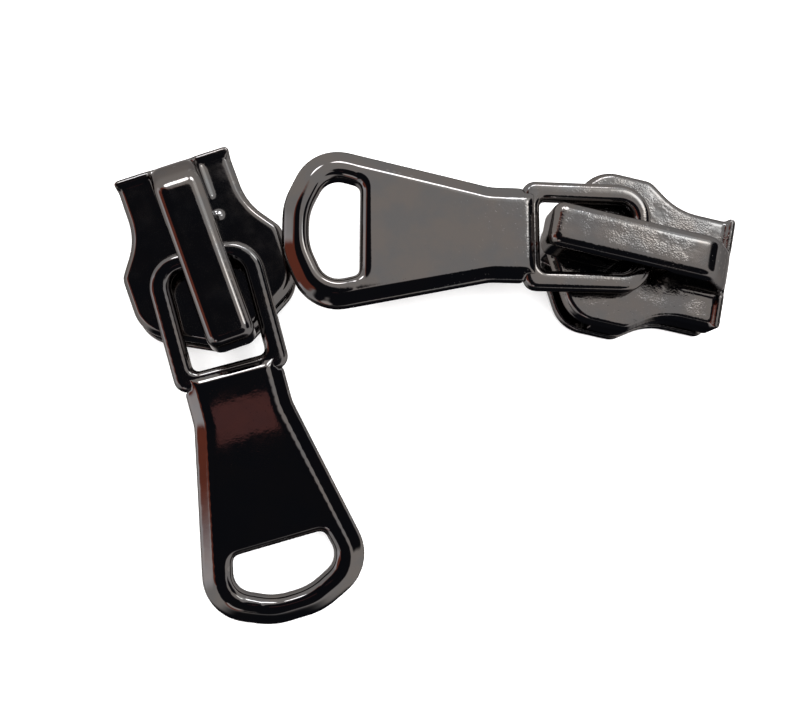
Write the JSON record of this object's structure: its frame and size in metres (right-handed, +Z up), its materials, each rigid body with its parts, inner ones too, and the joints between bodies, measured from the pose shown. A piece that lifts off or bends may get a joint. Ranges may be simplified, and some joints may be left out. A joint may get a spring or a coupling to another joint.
{
  "type": "pair of zipper sliders with pull tabs",
  "caption": "Pair of automatic-lock zipper sliders with hollow covers, D-shaped links and long flared pull tabs with D-shaped eyes.",
  "frame": {"origin": "on the table under the middle of the pair's bounding box", "axes": "+X from the left slider towards the right one along the pair's longest extent, +Y away from the left pull's eye, +Z up from the table"},
  "size_m": [0.0572, 0.0424, 0.0093],
  "materials": {
    "body_plating": "black-nickel plating on die-cast zinc, slightly pitted mirror",
    "cover_plating": "black-nickel plating, mirror with fine pits",
    "link_plating": "black-nickel plating, mirror",
    "tab_plating": "black-nickel plating, mirror with fine specks",
    "pawl_plating": "black-nickel plating, satin",
    "spring_steel": "plain spring steel"
  },
  "bodies": {
    "left_slider": {"left_body": "body_plating", "left_cover": "cover_plating", "left_leaf_spring": "spring_steel"},
    "left_pawl": {"left_locking_pawl": "pawl_plating"},
    "left_pull": {"left_pull_link": "link_plating", "left_pull_tab": "tab_plating"},
    "right_slider": {"right_body": "body_plating", "right_cover": "cover_plating", "right_leaf_spring": "spring_steel"},
    "right_pawl": {"right_locking_pawl": "pawl_plating"},
    "right_pull": {"right_pull_link": "link_plating", "right_pull_tab": "tab_plating"}
  },
  "joints": [
    {"name": "left_pawl_lift", "type": "hinge", "parent": "left_slider", "child": "left_pawl", "pos_m": [-0.01885, 0.00639, 0.0075], "axis": [0.9361, 0.3518, 0], "range_deg": [-5.76, 0], "deforming": ["left_leaf_spring"]},
    {"name": "left_pull_swing", "type": "hinge", "parent": "left_slider", "child": "left_pull", "pos_m": [-0.02043, 0.01059, 0.00658], "axis": [-0.9361, -0.3518, 0], "range_deg": [0, 187]},
    {"name": "right_pawl_lift", "type": "hinge", "parent": "right_slider", "child": "right_pawl", "pos_m": [0.01392, 0.01318, 0.0075], "axis": [-0.2062, -0.9785, 0], "range_deg": [0, 4.86], "deforming": ["right_leaf_spring"]},
    {"name": "right_pull_swing", "type": "hinge", "parent": "right_slider", "child": "right_pull", "pos_m": [0.01912, 0.01208, 0.00658], "axis": [0.2062, 0.9785, 0], "range_deg": [0, 182]},
    {"name": "right_slider_lift", "type": "slide", "parent": "left_slider", "child": "right_slider", "axis": [0, 0, 1], "range_m": [0, 0.03]}
  ],
  "couplings": [
    {"joint": "left_pawl_lift", "follows": "left_pull_swing", "ratio": -0.030788},
    {"joint": "right_pawl_lift", "follows": "right_pull_swing", "ratio": 0.026683}
  ]
}
